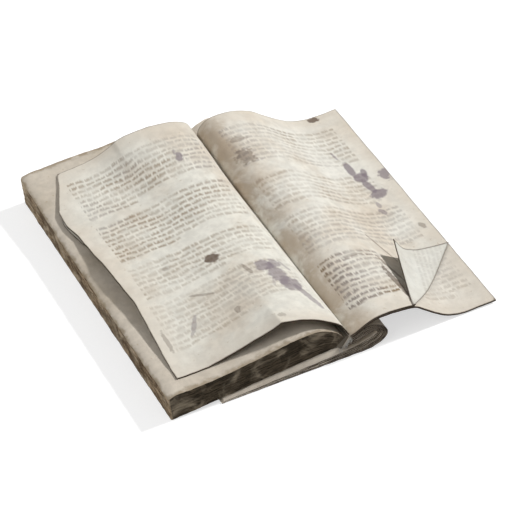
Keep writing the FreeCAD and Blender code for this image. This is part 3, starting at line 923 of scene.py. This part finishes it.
across = np.linspace(0, 1, 112)
lengthwise = np.linspace(0, 1, 132)
near_crease = (-41.5, 1.3, 2.6)         # place across the page, height and width
far_crease = (-56.5, 1.1, 3.2)
leaf_clearance = 0.15                   # between the leaf and the stack
rows = gather(left_table, left_places, left_fore, left_near, left_far, across, lengthwise,
              top_leaf_wear)
for row, v in zip(rows, lengthwise):
    for point in row:
        crest = crease(near_crease, point.x) * (1 - ease(0.0, 0.16, v))
        ridge = crease(far_crease, point.x) * ease(0.86, 1.0, v)
        buckle = 0.45 * ripple(point.x / 17, point.y / 24, 2.0) * ease(6, 20, -point.x)
        flutter = 0.5 * ripple(point.x / 9, point.y / 11, 6.0) * ease(92, 104, -point.x)
        point.z += crest + ridge + buckle + flutter
        if point.x < -20:
            clear = stack_top_under(point.x, point.y) + top_leaf_thickness + leaf_clearance
            point.z = max(point.z, clear)
sheet_piece("left_leaf", rows, top_leaf_thickness, [left_page, painted_shade_page_back, leaf_edge],
            ("near", "outer", "far"), "left_top_leaf")

# The next leaf down, also rag paper glued at the gutter, lies just under the top one. It shows only
# beside that one's lost corner, where it stands out a millimetre.
second_leaf_drop = 1.35
second_leaf_thickness = 0.45
second_leaf_wear = 0.25
second_fore = ([-110, -90, -40, 12, 22, 28, 35, 42, 50, 56, 62, 95],
               [-100.0, -101.5, -100.5, -103.5, -105.2, -107.4, -108.5, -109.8, -110.5, -109.0,
                -104.5, -92.0])
rows = gather(left_table, left_places, second_fore, left_near, left_far,
              np.linspace(0.06, 1, 80), np.linspace(0.1, 0.86, 90), second_leaf_wear)
for row in rows:
    for point in row:
        point.z += -second_leaf_drop + 0.25 * ripple(point.x / 15, point.y / 19, 9.0)
plain_page = page_material("second_page", (0.62, 0.60, 0.54, 1), (0.46, 0.41, 0.33, 1), 0.8)
sheet_piece("second_leaf", rows, second_leaf_thickness, [plain_page, painted_shade_page_back, leaf_edge],
            ("near", "outer", "far"), "left_second_leaf")


# The right-hand leaf of rag paper is glued in at the gutter, stands up from it, passes over the
# roll and droops to the table. Its near outer corner is folded over.
right_places = [0.0, 0.337, 0.688, 1.0]
right_table = [
    [(-0.9, 15.7), (0.6, 17.4), (4.2, 19.8), (10.1, 23.0), (17.8, 25.1), (29.5, 24.9),
     (41.3, 23.2), (48.5, 18.0), (56.0, 12.0), (64.5, 6.4), (74.5, 3.5), (86.0, 3.2), (98.5, 3.9)],
    [(-1.0, 15.8), (0.3, 18.3), (3.8, 21.6), (9.4, 25.0), (16.4, 27.1), (28.5, 26.6),
     (39.4, 22.9), (47.4, 17.6), (55.4, 11.9), (64.2, 6.6), (74.5, 3.4), (86.2, 3.2), (99.0, 3.8)],
    [(-1.2, 16.4), (-0.3, 19.7), (2.4, 23.6), (7.4, 27.2), (14.4, 29.2), (26.5, 28.4),
     (37.8, 23.9), (46.2, 17.8), (54.8, 11.9), (64.0, 6.6), (74.5, 3.4), (86.4, 3.1), (99.4, 3.7)],
    [(-1.3, 17.0), (-0.8, 21.0), (0.9, 25.2), (5.2, 29.2), (12.0, 30.8), (24.1, 29.9),
     (36.4, 25.2), (45.2, 18.8), (54.4, 12.1), (63.8, 6.6), (74.5, 3.3), (86.5, 3.0), (99.8, 3.6)],
]
right_edges = (-107.2, 92.3)
fold_start, fold_end = (41.3, -107.2), (97.5, -52.5)
corner_tip = (57.0, -55.0, 26.0)
corner_was = (98.4, -107.2)
right_fore = ([-107.2, -52.5, -52.4, 92.3], [41.3, 97.5, 97.6, 99.1])
flap_rise = ([0.0, 0.33, 0.65, 0.85, 1.0], [0.0, 0.11, 0.29, 0.56, 1.0])
fold_rows, plain_rows = 44, 96          # rows of points beside the fold and beyond it
right_near_line = ([-2, 0, 2, 100], [-105.4, -106.6, -107.2, -107.2])
right_far_line = ([-2, 100], [92.3, 92.3])
right_page = page_material(
    "right_page", (0.665, 0.645, 0.585, 1), (0.575, 0.505, 0.415, 1), 0.85, gutter=0.6,
    paragraphs=[
        (77.6, 9, line_pitch, 7.0, 88.0, 88.0, 0.02, 0.56),
        (26.5, 7, line_pitch, 7.0, 86.0, 82.0, -0.01, 0.46),
        (-11.0, 8, 4.35, 7.0, 88.0, 88.0, -0.03, 0.46),
        (-53.0, 10, 4.3, 6.5, 46.0, 40.0, 0.0, 0.92)],
    blots=[
        (78.0, 35.5, 2.4, 8.6, -2, 0.3, 0.8, violet),
        (80.5, 25.5, 4.8, 4.6, 10, 0.3, 0.8, violet),
        (84.4, 28.5, 1.9, 4.6, -12, 0.3, 0.75, violet),
        (81.0, 16.0, 2.5, 7.5, 10, 0.3, 0.78, violet),
        (83.0, 7.0, 6.0, 4.2, 12, 0.4, 0.8, violet),
        (77.6, -2.5, 1.6, 3.0, 0, 0.4, 0.55, violet),
        (76.9, -9.0, 2.0, 3.0, 20, 0.5, 0.6, violet),
        (95.3, 21.5, 3.6, 5.5, 0, 0.7, 0.75, violet),
        (75.3, 51.5, 0.9, 4.4, 8, 0.5, 0.55, violet),
        (81.0, 89.6, 3.8, 2.6, -10, 0.5, 0.85, rust_and_crease_shade),
        (92.0, -31.0, 2.0, 3.4, 20, 0.7, 0.45, rust_and_crease_shade),
        (12.0, 50.0, 5.5, 7.0, 10, 0.7, 0.5, rust_and_crease_shade),
        (14.0, 66.0, 6.0, 2.6, 0, 0.7, 0.35, rust_and_crease_shade),
        # The next three streaks, beside the folded corner, are painted shade: dark crease lines in
        # and by its shadow.
        (42.0, -84.0, 2.2, 16.0, 3, 0.65, 0.7, rust_and_crease_shade),
        (47.0, -70.0, 1.4, 12.0, 16, 0.6, 0.5, rust_and_crease_shade),
        (53.5, -45.0, 0.8, 14.0, 20, 0.5, 0.5, rust_and_crease_shade),
        (28.0, -56.0, 7.0, 1.2, 0, 0.6, 0.35, rust_and_crease_shade)])
fold_share = (fold_end[1] - right_edges[0]) / (right_edges[1] - right_edges[0])
right_lengthwise = np.unique(np.concatenate([
    np.linspace(0, fold_share, fold_rows), np.linspace(fold_share, 1, plain_rows)]))
rows = gather(right_table, right_places, right_fore, right_near_line, right_far_line, across,
              right_lengthwise, 0.0)


def right_buckle(point):
    rise = 0.4 * ripple(point.x / 16, point.y / 22, 12.0) * ease(5, 18, point.x)
    return rise + 0.25 * ripple(point.x / 7, point.y / 9, 15.0) * ease(60, 90, point.x)


for row in rows:
    for point in row:
        point.z += right_buckle(point)
sheet_rows = rows
sheet_piece("right_leaf", rows, top_leaf_thickness, [right_page, painted_shade_page_back, leaf_edge],
            ("near", "outer", "far"), "right_top_leaf")

# The folded corner itself, seen from its back. It is the same sheet: it turns at the fold, stays
# hollow, and its tip stands up.
flap_thickness = 0.5
flap_lift = 0.6                         # the free edge over the leaf, where the fold begins
flap_clearance = 0.75                   # the least that the flap lies over the leaf
flap_turn = 0.7                         # its height beside the fold
flap_rows, flap_page = [], []
(ax, ay), (bx, by), (tx, ty, tz) = fold_start, fold_end, corner_tip
for row in sheet_rows[:fold_rows]:
    edge = row[-1]
    share = (edge.y - ay) / (by - ay)
    free_x = ax - 1.6 * (1 - share) + (tx - ax) * share
    free_y = edge.y + (ty - by) * share
    start_z = sheet_rows[0][-1].z + flap_lift
    free_z = start_z + (tz - start_z) * share
    line = [Vector((edge.x + 0.15, edge.y, edge.z - 0.35)), Vector((edge.x + 0.5, edge.y, edge.z)),
            Vector((edge.x + 0.25, edge.y, edge.z + 0.5))]
    for w in np.linspace(0, 1, 26)[1:]:
        rise = smooth(*flap_rise, w) * share + w * (1 - share)
        x = edge.x + (free_x - edge.x) * w
        y = edge.y + (free_y - edge.y) * w
        z = edge.z + flap_turn + (free_z - edge.z - flap_turn) * rise
        under = [p for p in row if p.x <= x + 0.6]
        floor_z = (under[-1].z if under else edge.z) + flap_clearance
        line.append(Vector((x, y, max(z, floor_z) + 0.3 * ripple(x / 6, y / 6, 21) * w)))
    flap_rows.append(line)
    for point in line:
        b = ((point.x - ax) * (by - ay) - (point.y - ay) * (bx - ax)) / (
            (tx - ax) * (by - ay) - (ty - ay) * (bx - ax))
        a = ((point.y - ay) - b * (ty - ay)) / (by - ay)
        old_x = ax + a * (bx - ax) + b * (corner_was[0] - ax)
        old_y = ay + a * (by - ay) + b * (corner_was[1] - ay)
        flap_page.append((old_x, old_y))
flap_back = page_material(
    "folded_corner", (0.64, 0.635, 0.59, 1), (0.56, 0.535, 0.475, 1), 0.6,
    paragraphs=[(-53.0, 9, 4.3, 40.0, 97.0, 90.0, 0.0, 0.22)], rim_width=1.7)
# Its brown rim also runs along the fold (inner), where it is painted shade of the fold.
sheet_piece("folded_corner", flap_rows, flap_thickness, [flap_back, painted_shade_page_back, leaf_edge],
            ("near", "outer", "far", "inner"), "right_top_leaf", flap_page)


# Below it lie several leaves stuck together, of the same paper and glued in at the gutter. Their
# corner isn't folded, so it shows beyond the fold.
under_leaf_drop = 1.25
under_leaf_thickness = 1.1
under_leaf_wear = 0.2
under_far_step = 0.8                    # how much shorter it is at the far end
under_fore = ([-107.2, -60, 92.3], [98.0, 98.2, 98.8])
under_page = page_material(
    "under_page", (0.635, 0.60, 0.535, 1), (0.54, 0.48, 0.40, 1), 0.7,
    paragraphs=[(-58.0, 9, 4.3, 50.0, 92.0, 80.0, 0.0, 0.30)])
rows = gather(right_table, right_places, under_fore, right_near_line, right_far_line, across,
              np.linspace(0, 1, 110), under_leaf_wear)
for row in rows:
    for point in row:
        point.z += right_buckle(point) - under_leaf_drop
        point.y -= under_far_step * ease(80, 92, point.y)
sheet_piece("under_leaf", rows, under_leaf_thickness, [under_page, painted_shade_page_back, leaf_edge],
            ("near", "outer", "far"), "right_under_leaf")
